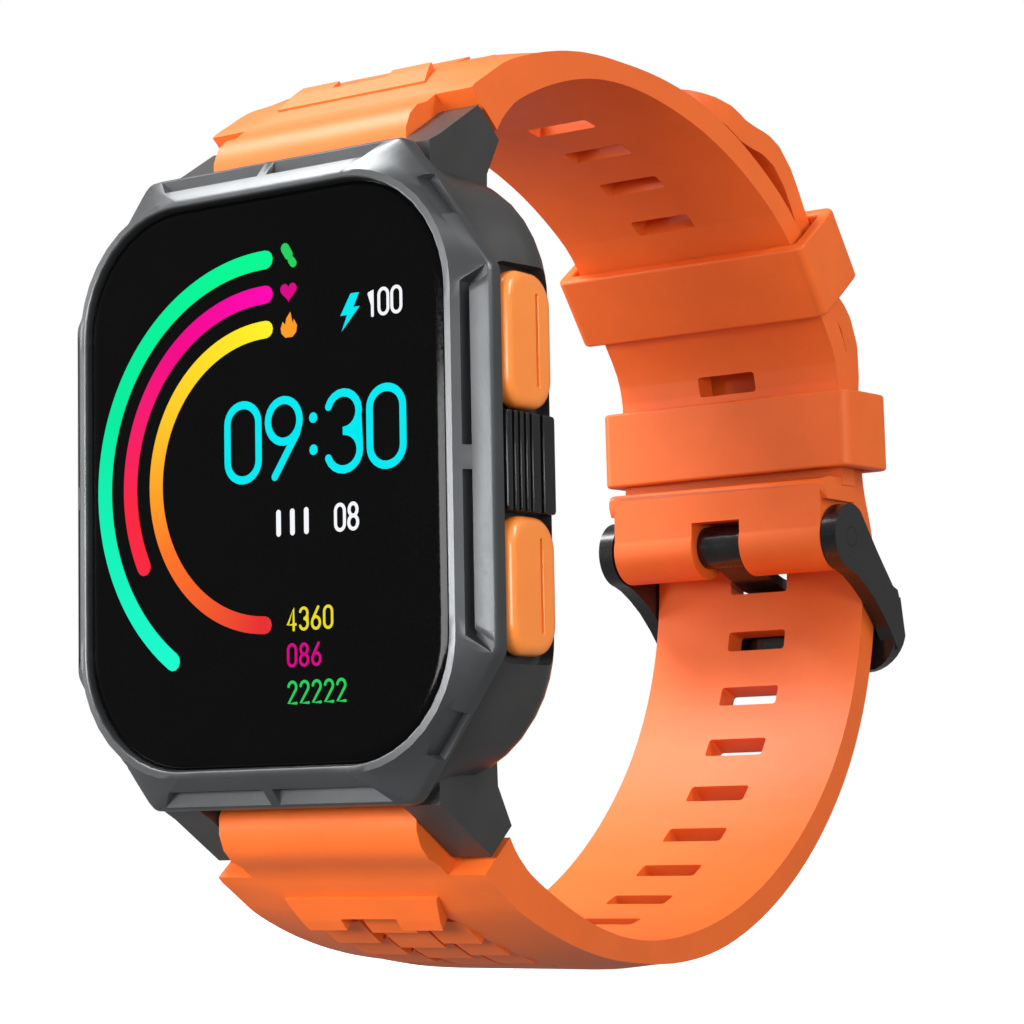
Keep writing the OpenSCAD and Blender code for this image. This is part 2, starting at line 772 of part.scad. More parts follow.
module buckle_tongue() {
  color([0.25, 0.26, 0.27]) difference() {
    union() {
      rod_x(hub_r, -hub_w / 2, hub_w / 2, pin_d, pin_z);
      across(-tongue_w / 2, tongue_w / 2)
        polygon([[pin_d + 0.6, pin_z - 1.8], [75.2, -4.3], [78.9, -4.9], [78.9, -8], [79.6, -8.4],
                 [80.3, -7.6], [80.3, -4.9], [79.4, -4], [75.4, -3.3], [73, -2.55], [pin_d + 1.7, pin_z + 0.6]]);
    }
    rod_x(pin_r + run_gap, -15, 15, pin_d, pin_z);
  }
}

// ---------------------------------------------------------------- parts

bezel();
front_glass();
glass_seal();
display_panel();
mid_case();
side_block();
upper_button();
lower_button();
upper_clip();
lower_clip();
button_seals();
key_board();
inner_frame();
main_board();
shield_can();
battery();
speaker();
microphone();
gps_antenna();
motor_housing();
motor_weight();
sensor_board();
back_seal();
back_cover();
sensor_window();
charging_contacts();
back_screws();
top_bar();
bottom_bar();
top_left_tip();
top_right_tip();
bottom_left_tip();
bottom_right_tip();
short_strap();
long_strap();
upper_keeper();
lower_keeper();
buckle_bar();
buckle_frame();
buckle_tongue();
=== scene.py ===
"""Rugged running watch: the visible pieces, materials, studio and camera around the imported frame."""
import json
import math

import bmesh
import bpy
import numpy as np
from mathutils import Matrix, Vector


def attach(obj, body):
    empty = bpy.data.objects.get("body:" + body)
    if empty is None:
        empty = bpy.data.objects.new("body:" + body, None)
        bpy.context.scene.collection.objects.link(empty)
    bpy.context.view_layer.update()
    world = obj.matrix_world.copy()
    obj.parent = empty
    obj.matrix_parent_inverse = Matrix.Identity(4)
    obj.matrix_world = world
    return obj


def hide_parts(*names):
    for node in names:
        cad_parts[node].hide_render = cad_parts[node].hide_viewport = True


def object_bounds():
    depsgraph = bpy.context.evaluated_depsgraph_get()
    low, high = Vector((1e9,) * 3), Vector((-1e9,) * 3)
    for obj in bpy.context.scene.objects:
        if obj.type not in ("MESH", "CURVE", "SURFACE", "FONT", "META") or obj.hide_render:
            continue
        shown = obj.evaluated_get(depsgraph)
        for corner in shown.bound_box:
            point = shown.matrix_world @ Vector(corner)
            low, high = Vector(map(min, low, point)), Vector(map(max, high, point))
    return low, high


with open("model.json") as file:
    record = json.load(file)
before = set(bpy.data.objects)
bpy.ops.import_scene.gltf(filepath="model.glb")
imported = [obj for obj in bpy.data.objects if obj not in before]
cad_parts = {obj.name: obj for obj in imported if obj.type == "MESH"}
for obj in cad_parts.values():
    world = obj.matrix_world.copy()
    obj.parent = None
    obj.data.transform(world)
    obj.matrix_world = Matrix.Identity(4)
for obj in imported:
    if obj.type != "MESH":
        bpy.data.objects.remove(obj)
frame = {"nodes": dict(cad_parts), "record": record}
cad_low, cad_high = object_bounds()

MM = 0.001
RIM_Y = -13.6  # y of the bezel's rim in millimetres; depths are measured from here along +Y

# Sizes in millimetres that several pieces share: half widths and heights, (depth, z) of the bars
HALF_W, HALF_H = 20.6, 25.0
CUT_X, CUT_Z = 7.8, 10.8  # what the cut corners of the bezel take off
GLASS_W, GLASS_H, GLASS_R = 17.6, 21.85, 9.3
BAR_D, BAR_Z = 9.7, 26.2
PIN_D, PIN_Z, PIN_HOLE_R = 69.4, -0.45, 0.94
LUG_IN, LUG_OUT = 9.9, 13.5
ARM_IN, ARM_OUT = 11.5, 13.0
HUB_HALF = 2.55
STRAP_T = 2.4
RING_COUNT = 14  # points in each stretch of the case's outlines


# ---------------------------------------------------------------- outlines

def unit(v):
    v = np.array(v, float)
    return v / np.linalg.norm(v)


def rounded(points, radius, steps=6):
    """A closed outline with its corners rounded."""
    points = [np.array(p, float) for p in points]
    out = []
    for i, p in enumerate(points):
        u, v = unit(points[i - 1] - p), unit(points[(i + 1) % len(points)] - p)
        half = math.acos(max(-1, min(1, float(u @ v)))) / 2
        centre = p + unit(u + v) * radius / math.sin(half)
        a = p + u * radius / math.tan(half) - centre
        b = p + v * radius / math.tan(half) - centre
        start = math.atan2(a[1], a[0])
        turn = math.atan2(a[0] * b[1] - a[1] * b[0], float(a @ b))
        for k in range(steps + 1):
            angle = start + turn * k / steps
            out.append((centre[0] + radius * math.cos(angle), centre[1] + radius * math.sin(angle)))
    return out


def box_points(w, h):
    """A box of half width w and half height h."""
    return [(-w, -h), (w, -h), (w, h), (-w, h)]


def case_points(w, h):
    """A box with its corners cut as on the bezel."""
    x, z = w - CUT_X, h - CUT_Z
    return [(-x, -h), (x, -h), (w, -z), (w, z), (x, h), (-x, h), (-w, z), (-w, -z)]


def resample(line, marks):
    """Points of a closed line, as many in each stretch between marks, and closer together near them."""
    line = np.array(line)
    out = []
    for k, start in enumerate(marks):
        stretch = (marks[(k + 1) % len(marks)] - start) % len(line)
        part = line[[(start + i) % len(line) for i in range(stretch + 1)]]
        run = np.r_[0, np.cumsum(np.linalg.norm(np.diff(part, axis=0), axis=1))]
        shares = 0.5 - 0.5 * np.cos(np.pi * np.arange(RING_COUNT) / RING_COUNT)
        for length in run[-1] * shares:
            out.append(tuple(float(np.interp(length, run, part[:, axis])) for axis in (0, 1)))
    return out


def octagon_ring(w, h, r):
    """The cut box with round corners; its eight stretches match those of glass_ring."""
    steps = 8
    line = rounded(case_points(w, h), r, steps)
    return resample(line, [(steps + 1) * k + steps // 2 for k in (1, 2, 3, 4, 5, 6, 7, 0)])


def glass_ring(w, h, r):
    """A box with large round corners, from the lower right corner on."""
    steps = 24
    line = rounded(box_points(w, h), r, steps)
    marks = [(steps + 1) * k + end for k in (1, 2, 3, 0) for end in (0, steps)]
    return resample(line, marks)


def mix(a, b, t):
    """An outline between two outlines of as many points."""
    return [(p[0] + (q[0] - p[0]) * t, p[1] + (q[1] - p[1]) * t) for p, q in zip(a, b)]


# ---------------------------------------------------------------- solids
# A solid is (points, faces), and its points are (x, depth, z) in millimetres.

def merge(*solids):
    points, faces = [], []
    for more_points, more_faces in solids:
        shift = len(points)
        points += more_points
        faces += [[i + shift for i in f] for f in more_faces]
    return points, faces


def loft(rings, around=False):
    """Skins a list of rings; around joins the last one to the first, or else both ends are closed."""
    n = len(rings[0])
    points = [p for ring in rings for p in ring]
    faces = []
    pairs = len(rings) if around else len(rings) - 1
    for k in range(pairs):
        a, b = k * n, (k + 1) % len(rings) * n
        faces += [[a + i, a + (i + 1) % n, b + (i + 1) % n, b + i] for i in range(n)]
    if not around:
        faces += [list(range(n))[::-1], [len(points) - n + i for i in range(n)]]
    return points, faces


def at_depth(outline, d):
    return [(x, d, z) for x, z in outline]


def front_prism(outline, d0, d1):
    """A front-view outline of (x, z) points between two depths."""
    return loft([at_depth(outline, d0), at_depth(outline, d1)])


def side_prism(outline, x0, x1):
    """A side-view outline of (depth, z) points between two places across the width."""
    return loft([[(x, d, z) for d, z in outline] for x in (x0, x1)])


def circle(r, a, b, sides=48):
    return [(a + r * math.cos(t), b + r * math.sin(t)) for t in np.arange(sides) * 2 * np.pi / sides]


def rod_x(r, x0, x1, d, z):
    return side_prism(circle(r, d, z), x0, x1)


def rod_y(r, d0, d1, x, z, sides=48):
    return front_prism(circle(r, x, z, sides), d0, d1)


def block(x0, x1, d0, d1, z0, z1):
    return front_prism([(x0, z0), (x1, z0), (x1, z1), (x0, z1)], d0, d1)


def mirrored(solid, x=1, z=1):
    points, faces = solid
    flip = x * z < 0
    return [(p[0] * x, p[1], p[2] * z) for p in points], [f[::-1] if flip else f for f in faces]


def make(name, solid, weld=1e-4):
    """A Blender object, still in millimetres, from a solid."""
    mesh = bpy.data.meshes.new(name)
    mesh.from_pydata([(x, RIM_Y + d, z) for x, d, z in solid[0]], [], solid[1])
    bm = bmesh.new()
    bm.from_mesh(mesh)
    bmesh.ops.remove_doubles(bm, verts=bm.verts, dist=weld)
    bmesh.ops.recalc_face_normals(bm, faces=bm.faces)
    bm.to_mesh(mesh)
    bm.free()
    obj = bpy.data.objects.new(name, mesh)
    bpy.context.scene.collection.objects.link(obj)
    return obj


def apply(obj):
    graph = bpy.context.evaluated_depsgraph_get()
    mesh = bpy.data.meshes.new_from_object(obj.evaluated_get(graph))
    obj.modifiers.clear()
    old = obj.data
    obj.data = mesh
    bpy.data.meshes.remove(old)


def boolean(obj, solid, operation="DIFFERENCE"):
    tool = make("tool", solid)
    mod = obj.modifiers.new("cut", "BOOLEAN")
    mod.operation = operation
    mod.solver = "EXACT"
    mod.use_self = True
    mod.object = tool
    apply(obj)
    bpy.data.objects.remove(tool)


def done(obj, material, body, nodes, bevel=0.2, segments=3, limit=32, sharp=48):
    """Rounds the edges, brings the piece to metres, and says what it stands for."""
    if bevel:
        mod = obj.modifiers.new("round", "BEVEL")
        mod.width = bevel
        mod.segments = segments
        mod.limit_method = "ANGLE"
        mod.angle_limit = math.radians(limit)
        mod.use_clamp_overlap = True
        mod.miter_outer = "MITER_ARC"
        apply(obj)
    bm = bmesh.new()
    bm.from_mesh(obj.data)
    bmesh.ops.remove_doubles(bm, verts=bm.verts, dist=2e-4)
    bmesh.ops.dissolve_degenerate(bm, edges=bm.edges, dist=2e-4)
    for f in bm.faces:
        f.smooth = True
    for e in bm.edges:
        e.smooth = len(e.link_faces) == 2 and e.calc_face_angle(0) < math.radians(sharp)
    for v in bm.verts:
        v.co *= MM
    bm.to_mesh(obj.data)
    bm.free()
    obj.modifiers.new("normals", "WEIGHTED_NORMAL").keep_sharp = True
    obj.data.materials.clear()
    obj.data.materials.append(material)
    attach(obj, body)
    if nodes:
        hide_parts(*nodes)
    return obj


# ---------------------------------------------------------------- materials

def shader(name, color, rough, metal=0.0, spec=0.5, coat=0.0, coat_rough=0.1):
    mat = bpy.data.materials.new(name)
    mat.use_nodes = True
    p = mat.node_tree.nodes["Principled BSDF"]
    p.inputs["Base Color"].default_value = (*color, 1)
    p.inputs["Roughness"].default_value = rough
    p.inputs["Metallic"].default_value = metal
    p.inputs["Specular IOR Level"].default_value = spec
    p.inputs["Coat Weight"].default_value = coat
    p.inputs["Coat Roughness"].default_value = coat_rough
    return mat, mat.node_tree.nodes, mat.node_tree.links, p


def noise_of(nodes, links, scale, detail):
    """Noise of so many features per millimetre."""
    place = nodes.new("ShaderNodeTexCoord")
    noise = nodes.new("ShaderNodeTexNoise")
    noise.inputs["Scale"].default_value = scale / MM
    noise.inputs["Detail"].default_value = detail
    links.new(place.outputs["Object"], noise.inputs["Vector"])
    return noise.outputs["Fac"]


def ramp_of(nodes, links, fac, low, high, start=0.3, end=0.7):
    ramp = nodes.new("ShaderNodeValToRGB")
    ramp.color_ramp.elements[0].position = start
    ramp.color_ramp.elements[1].position = end
    for i, value in enumerate((low, high)):
        value = (value,) * 3 if isinstance(value, float) else value
        ramp.color_ramp.elements[i].color = (*value, 1)
    links.new(fac, ramp.inputs["Fac"])
    return ramp.outputs["Color"]


CLOUDS = 0.25  # soft patches per millimetre
UNEVEN = 0.07  # how far the roughness strays
BUMP_HEIGHT = 0.02


def textured(name, color, rough, bump=0.1, grain=6.0, spread=0.12, **more):
    """Principled material with cloudy colour, uneven roughness and a fine grain."""
    mat, nodes, links, p = shader(name, color, rough, **more)
    soft = noise_of(nodes, links, CLOUDS, 3.0)
    low = tuple(c * (1 - spread) for c in color)
    high = tuple(min(1.0, c * (1 + spread)) for c in color)
    links.new(ramp_of(nodes, links, soft, low, high), p.inputs["Base Color"])
    fine = noise_of(nodes, links, grain, 5.0)
    rough_low = max(0.02, rough - UNEVEN)
    links.new(ramp_of(nodes, links, fine, rough_low, rough + UNEVEN), p.inputs["Roughness"])
    relief = nodes.new("ShaderNodeBump")
    relief.inputs["Strength"].default_value = bump
    relief.inputs["Distance"].default_value = BUMP_HEIGHT * MM
    links.new(fine, relief.inputs["Height"])
    links.new(relief.outputs["Normal"], p.inputs["Normal"])
    return mat


STRAP = textured("strap_silicone", (0.85, 0.146, 0.019), 0.48, bump=0.2, grain=9.0, spread=0.03, spec=0.38)
BUTTON = textured("button_plastic", (1.0, 0.27, 0.035), 0.36, bump=0.02, grain=14.0, spread=0.03, coat=0.6)
BEZEL = textured("bezel_gunmetal", (0.1, 0.104, 0.108), 0.36, bump=0.1, grain=14.0, spread=0.08, metal=0.75)
CASE = textured("case_coating", (0.068, 0.066, 0.065), 0.36, bump=0.1, grain=10.0, spread=0.1, metal=0.5)
GLOSS = textured("trim_plastic", (0.008, 0.008, 0.009), 0.2, bump=0.05, spread=0.2)
BUCKLE = textured(
    "buckle_paint", (0.007, 0.0075, 0.0085), 0.24, bump=0.05, grain=12.0, spread=0.2, coat=0.15)
GLASS = textured("cover_glass", (0.001, 0.001, 0.0012), 0.1, bump=0.0, spread=0.1, spec=0.12)
SEAL = textured("seal_rubber", (0.012, 0.012, 0.012), 0.6, bump=0.2, spread=0.2)
STEEL = textured("plain_steel", (0.5, 0.5, 0.52), 0.32, bump=0.1, grain=20.0, spread=0.08, metal=1.0)
GOLD = textured("contact_gold", (0.8, 0.55, 0.22), 0.25, bump=0.05, spread=0.06, metal=1.0)
BOARD = textured("circuit_board", (0.02, 0.12, 0.05), 0.4, bump=0.1, spread=0.2)
ALLOY = textured("light_alloy", (0.5, 0.51, 0.53), 0.38, bump=0.1, spread=0.1, metal=1.0)
CERAMIC = textured("ceramic", (0.6, 0.56, 0.48), 0.5, bump=0.1, spread=0.08)
COVER = textured("back_cover_plastic", (0.02, 0.02, 0.022), 0.38, bump=0.35, grain=8.0, spread=0.2)
SENSOR = textured(
    "sensor_glass", (0.006, 0.007, 0.01), 0.06, bump=0.0, spread=0.2, coat=1.0, coat_rough=0.03)

CAD_MATERIALS = {
    "bezel_metal": BEZEL, "front_glass": GLASS, "seal_rubber": SEAL, "display": GLASS, "case_black": CASE,
    "button_orange": BUTTON, "steel": STEEL, "circuit_board": BOARD, "light_metal": ALLOY,
    "inner_plastic": SEAL, "contact_metal": GOLD, "ceramic": CERAMIC, "heavy_metal": STEEL,
    "cover_black": COVER, "sensor_window": SENSOR, "strap_rubber": STRAP, "buckle_metal": BUCKLE,
}
for sub in frame["record"]["subparts"]:
    node = frame["nodes"].get(sub["node"])
    if node is not None:
        for material_slot in node.material_slots:
            material_slot.material = CAD_MATERIALS[sub["material_slot"]]


# ---------------------------------------------------------------- straps

# The inner face of each strap starts at (depth, z, heading) and goes on in arcs of (length, turn).
SHORT_START = (13.2, 26.6, 64.7)
SHORT_PATH = ((6, -37.8), (43.6, -59.7), (5, -20), (9, 0), (5, -36.1), (9, 0))
LONG_START = (13.2, -26.6, -64.9)
LONG_PATH = ((5.5, 34.2), (54.9, 79.6), (21.3, 39.5), (5, 23.7), (5, -20.1))
# s is the way along a strap's path. The tail lies outside the short strap, from TAIL_FROM back to TAIL_TO.
SHORT_END, LONG_END = 77.6, 91.7
TAIL_FROM, TAIL_TO, TAIL_JOIN, TAIL_T = 75.4, 33.0, 0.2, 2.3
LAYER_GAP = 0.3
THICK_START, THICK_END = 2, 24  # extra thickness at the lugs, and where it has gone
LUG_HALF, SHORT_HALF, KEEPER_HALF, TAIL_HALF = 13.2, 11.5, 12.0, 11.3  # half widths of the straps
BARREL_START = -12.0


def step_pose(p, s, arc):
    length, turn = arc
    bend = math.radians(turn / length)
    first = math.radians(p[2])
    last = first + bend * s
    if bend == 0:
        return p[0] + s * math.cos(last), p[1] + s * math.sin(last), math.degrees(last)
    d = p[0] + (math.sin(last) - math.sin(first)) / bend
    z = p[1] - (math.cos(last) - math.cos(first)) / bend
    return d, z, math.degrees(last)


def pose(path, p, s):
    """(depth, z, heading) after s millimetres of a path."""
    for arc in path[:-1]:
        if s <= arc[0]:
            return step_pose(p, s, arc)
        p = step_pose(p, arc[0], arc)
        s -= arc[0]
    return step_pose(p, s, path[-1])


def thickness(s):
    return STRAP_T + (THICK_START * (1 - s / THICK_END) ** 1.5 if s < THICK_END else 0)


def path_point(side, s, out):
    """(depth, z) so far out of the inner face; side is 1 for the short strap and -1 for the long one."""
    p = pose(SHORT_PATH, SHORT_START, s) if side > 0 else pose(LONG_PATH, LONG_START, s)
    h = math.radians(p[2])
    return np.array((p[0] - side * out * math.sin(h), p[1] + side * out * math.cos(h)))


def smooth(t):
    """Rises softly from 0 to 1."""
    t = max(0.0, min(1.0, t))
    return t * t * (3 - 2 * t)


def bump(t):
    """A smooth hill, 1 high at 0 and gone at -1 and 1."""
    return (1 - t * t) ** 2 if abs(t) < 1 else 0.0


def on_circle(centre, r, degrees):
    a = math.radians(degrees)
    return np.array((centre[0] + r * math.cos(a), centre[1] + r * math.sin(a)))


def arc_points(centre, r, a0, a1, steps):
    return [tuple(on_circle(centre, r, a0 + (a1 - a0) * k / steps)) for k in range(steps + 1)]


def barrel_station(side, t):
    """Both faces where the strap turns round its spring bar; t runs from BARREL_START to 0."""
    f = t / BARREL_START
    centre = (BAR_D, BAR_Z)
    outer = on_circle(centre, 3.3, 92 + f * 193)
    inner = on_circle(centre, 3.5 - 0.2 * min(1, 3 * f), 6.5 - f * 81.5)
    return np.array((inner[0], side * inner[1])), np.array((outer[0], side * outer[1]))


def start_station(side, s):
    """Both faces; the outer one starts straight, at the flare beside the lugs."""
    inner, outer = path_point(side, s, 0), path_point(side, s, thickness(s))
    flare = 2.5
    if s < flare:
        first = np.array((9.6, side * 29.5))
        last = path_point(side, flare, thickness(flare))
        outer = first + (last - first) * s / flare
    return inner, outer


def narrowing(d, end_half):
    """Half width, which goes down to end_half with the depth."""
    return LUG_HALF - (LUG_HALF - end_half) * smooth((d - 18) / 26)


def short_station(t):
    """(inner point, outer point, half width) of the short strap."""
    if t < 0:
        return *barrel_station(1, t), LUG_HALF
    inner, outer = start_station(1, t)
    half = narrowing(inner[0], SHORT_HALF)
    half += (KEEPER_HALF - SHORT_HALF) * smooth((t - 50) / 12)
    return inner, outer, half


def long_station(t):
    """The same for the long strap, whose tail follows the short strap's path."""
    if t < 0:
        return *barrel_station(-1, t), LUG_HALF
    if t <= LONG_END:
        inner, outer = start_station(-1, t)
        return inner, outer, narrowing(inner[0], TAIL_HALF)
    s = TAIL_FROM - (t - LONG_END - TAIL_JOIN)
    full = TAIL_T * min(1, 0.3 + (s - TAIL_TO) / 12)
    tip_r = 7.5
    near_tip = max(0.0, tip_r - (s - TAIL_TO))
    half = TAIL_HALF - (tip_r - math.sqrt(max(0, tip_r ** 2 - near_tip ** 2)))
    lift = 1.5 * bump((s - 48.3) / 5.6) + 1.1 * bump((s - 65) / 4.2)
    out = thickness(s) + LAYER_GAP + lift
    return path_point(1, s, out), path_point(1, s, out + full), half


TAIL_END = LONG_END + TAIL_JOIN + TAIL_FROM - TAIL_TO
BARREL_HALF = 9.72
NARROW_END = 1.0  # up to here the strap is as narrow as its barrel
SLOT_HALF_L, SLOT_HALF_W, SLOT_R = 3.1, 0.95, 0.3
STEADY = 3.2  # columns this near the middle don't move in as the strap narrows
# The tread: a plate with a notch, then bricks in a middle row and in two side rows, with web between them
PLATE, NOTCH = (3.0, 5.1), 4.3
TREAD_HALF, TREAD_END = 7.2, 18.9
MIDDLE, INNER_EDGES = (-1.8, 2.7), (-2.85, 3.4)
SIDE_ROWS = ((5.9, 8.9), (9.4, 12.4), (12.9, 15.9), (16.4, 18.9))
MIDDLE_ROWS = ((4.55, 6.6), (7.2, 10.1), (10.7, 13.6), (14.2, 17.1))


def tread_level(s, u):
    """(kind, start, end) of the tread's part at a place on the outer face; None for plain strap."""
    if not (PLATE[0] < s < TREAD_END and abs(u) < TREAD_HALF):
        return None
    between = INNER_EDGES[0] < u < INNER_EDGES[1]
    if s < PLATE[1] and not (between and u < MIDDLE[1] and s > NOTCH):
        return ("plate", *PLATE)
    rows = MIDDLE_ROWS if MIDDLE[0] < u < MIDDLE[1] else () if between else SIDE_ROWS
    for row in rows:
        if row[0] < s < row[1]:
            return ("brick", *row)
    return ("web", NOTCH, TREAD_END)


def tread_height(level, s, relief):
    """How far that part stands out at s; relief is 1 on the long strap."""
    if level is None:
        return 0.0
    kind, start, end = level
    if kind == "plate":
        return relief * (0.3 + 0.85 * (s - start) / (end - start))
    if kind == "brick":
        return 0.65 * relief * (1.25 - start / 16) * (s - start) / (end - start) - 0.1
    return -0.4 * min(1, (end - s) / 6)


def has_strap(t, u):
    return t >= NARROW_END or abs(u) < BARREL_HALF


def shoulder(t):
    """How much the outer face's edges drop, from 0 to 1."""
    return smooth((t - 1) / 3) * (1 - smooth((t - 22) / 16))


def strap_solid(station, end, slots, relief, extra_rows):
    """A strap as rows and columns of cells with an inner and an outer face.
    Its slots are holes with round corners."""
    fixed = {v for pair in (PLATE, *SIDE_ROWS, *MIDDLE_ROWS) for v in pair}
    fixed |= {BARREL_START, end, NARROW_END, 1.6, NOTCH}
    pitch = 1.45
    even_rows = np.arange(BARREL_START, end, pitch)
    rows = {round(r, 3) for r in even_rows if min(abs(r - v) for v in fixed) > 0.5} | fixed
    for s in slots:
        edges = (s - SLOT_HALF_W, s - SLOT_HALF_W + SLOT_R, s + SLOT_HALF_W - SLOT_R, s + SLOT_HALF_W)
        rows = {r for r in rows if not edges[0] - 0.5 < r < edges[3] + 0.5} | {round(e, 3) for e in edges}
    for extra in extra_rows:
        rows = {r for r in rows if abs(r - extra) > 0.3} | {extra}
    rows = sorted(r for r in rows if r <= end)
    half_columns = {SLOT_HALF_L - SLOT_R, SLOT_HALF_L, 5.2, TREAD_HALF, 8.4, BARREL_HALF, 11.2, 12.6,
                    LUG_HALF}
    columns = sorted({-c for c in half_columns} | half_columns | {*MIDDLE, INNER_EDGES[1], 0.4})
    stations = [station(t) for t in rows]

    def place(i, j, h):
        """The point of row i and column j, h above the outer face, or on the inner face where h is None."""
        inner, outer, half = stations[i]
        u = columns[j]
        x = u
        if abs(u) > STEADY:
            x = math.copysign(STEADY + (abs(u) - STEADY) * (half - STEADY) / (LUG_HALF - STEADY), u)
        if h is None:
            return (x, *inner)
        if abs(u) == TREAD_HALF and PLATE[0] <= rows[i] <= PLATE[1]:
            x *= 1.045 - 0.13 * (rows[i] - PLATE[0]) / (PLATE[1] - PLATE[0])
        crown = -0.55 * smooth((abs(u) - 7.6) / 5.6) * shoulder(rows[i])
        q = outer + unit(outer - inner) * (h + crown)
        return (x, *q)

    def slot_part(i, j):
        """'hole', the cell's outer corner where a slot's corner is round, or None."""
        t, u = (rows[i] + rows[i + 1]) / 2, (columns[j] + columns[j + 1]) / 2
        for s in slots:
            dt = t - s
            if abs(dt) < SLOT_HALF_W and abs(u) < SLOT_HALF_L:
                if abs(dt) > SLOT_HALF_W - SLOT_R and abs(u) > SLOT_HALF_L - SLOT_R:
                    return (1 if dt > 0 else 0, 1 if u > 0 else 0)
                return "hole"
        return None

    cells = {}
    for i in range(len(rows) - 1):
        for j in range(len(columns) - 1):
            t, u = (rows[i] + rows[i + 1]) / 2, (columns[j] + columns[j + 1]) / 2
            part = slot_part(i, j)
            if part != "hole" and has_strap(t, u):
                cells[i, j] = (tread_level(t, u), part)
    height = {}
    for (i, j), (level, _) in cells.items():
        for di in (0, 1):
            for dj in (0, 1):
                height[i, j, di, dj] = round(tread_height(level, rows[i + di], relief), 5)
    levels = {}
    for (i, j, di, dj), h in height.items():
        levels.setdefault((i + di, j + dj), set()).add(h)

    points, faces = [], []

    def face(corners):
        base = len(points)
        points.extend(corners)
        faces.append(list(range(base, base + len(corners))))

    def column_of(i, j, low, high):
        """Points from one level to another at a grid corner; None is the inner face."""
        mid = sorted(h for h in levels[i, j] if (low is None or h > low + 1e-6) and h < high - 1e-6)
        return [place(i, j, h) for h in [low, *mid, high]]

    corners_of_cell = [(0, 0), (0, 1), (1, 1), (1, 0)]
    for (i, j), (_, part) in cells.items():
        if isinstance(part, tuple):
            a, b = part
            centre = (i + 1 - a, j + 1 - b)
            arc = []
            for k in range(4):
                angle = math.pi / 2 * k / 3
                arc.append((math.sin(angle) * (1 if a else -1), math.cos(angle) * (1 if b else -1)))
            t0, u0 = rows[centre[0]], columns[centre[1]]
            for h in (None, 0.0):
                ring = []
                for dt, du in arc:
                    inner, outer, _ = station(t0 + SLOT_R * dt)
                    q = inner if h is None else outer
                    ring.append((u0 + SLOT_R * du, *q))
                ring[0] = place(centre[0], j + b, h)
                ring[-1] = place(i + a, centre[1], h)
                face([place(i + a, j + b, h)] + ring)
                if h is None:
                    low_ring = ring
                else:
                    for k in range(3):
                        face([low_ring[k], low_ring[k + 1], ring[k + 1], ring[k]])
        else:
            face([place(i + a, j + b, None) for a, b in corners_of_cell])
            face([place(i + a, j + b, height[i, j, a, b]) for a, b in corners_of_cell])
        # Walls towards the neighbours, each pair once
        for di, dj, ends in ((0, 1, ((0, 1), (1, 1))), (1, 0, ((1, 0), (1, 1))),
                             (0, -1, ((0, 0), (1, 0))), (-1, 0, ((0, 0), (0, 1)))):
            other = cells.get((i + di, j + dj))
            p, q = [(i + a, j + b) for a, b in ends]
            mine = [height[i, j, a, b] for a, b in ends]
            if other is None:
                if isinstance(part, tuple):
                    continue
                left, right = column_of(*p, None, mine[0]), column_of(*q, None, mine[1])
                face(left + right[::-1])
            elif (di, dj) in ((0, 1), (1, 0)):
                theirs = [height[i + di, j + dj, a - di, b - dj] for a, b in ends]
                if max(abs(mine[0] - theirs[0]), abs(mine[1] - theirs[1])) < 1e-6:
                    continue
                sides = []
                for (r, c), m, n in zip((p, q), mine, theirs):
                    low, high = min(m, n), max(m, n)
                    sides.append(column_of(r, c, low, high) if high - low > 1e-6 else [place(r, c, low)])
                face(sides[0] + sides[1][::-1])
    return points, faces


SHORT_PITCH, LONG_PITCH = 5.9, 5.6
# The short strap's sixth slot, at the edge of the upper keeper, is left out
SHORT_SLOTS = [31.6 + SHORT_PITCH * i for i in range(8) if i != 5]
LONG_SLOTS = [81.2 - LONG_PITCH * i for i in range(9)]
TAIL_SLOTS = [LONG_END + TAIL_JOIN + TAIL_FROM - (65.1 - SHORT_PITCH * i) for i in range(6)]
STRAP_WELD = 2e-3

short_solid = strap_solid(short_station, SHORT_END, SHORT_SLOTS, relief=0.55, extra_rows=(2.2,))
short_strap = make("short_strap_body", short_solid, weld=STRAP_WELD)
# Its end is folded round the buckle's bar: a double layer above, then the roll
last_in, last_out = start_station(1, SHORT_END - 0.6)
top = [tuple(last_out), tuple(last_in), (67.5, 5.12), (66.9, 4.9), (66.64, 4.4)]
fold = [(72.0, 3.0), *top, (66.62, 3.9), (66.95, 3.0)]
roll = [(71.9, 3.2), *top, (66.6, 3.0), *arc_points((PIN_D, PIN_Z), 3.0, 160, 358, 33)]
boolean(short_strap, side_prism(roll, -11.3, 11.3), "UNION")
boolean(short_strap, side_prism(fold, -11.9, 11.9), "UNION")
hub_room = HUB_HALF + 0.07
boolean(short_strap, block(-hub_room, hub_room, 60, 80, -5, 1.75))
done(short_strap, STRAP, "case", ("short_strap",), bevel=0.2, limit=38)

long_solid = strap_solid(
    long_station, TAIL_END, LONG_SLOTS + TAIL_SLOTS, relief=1.0, extra_rows=(2.2, LONG_END))
long_strap = make("long_strap_body", long_solid, weld=STRAP_WELD)
done(long_strap, STRAP, "case", ("long_strap",), bevel=0.2, limit=38)


# ---------------------------------------------------------------- keepers

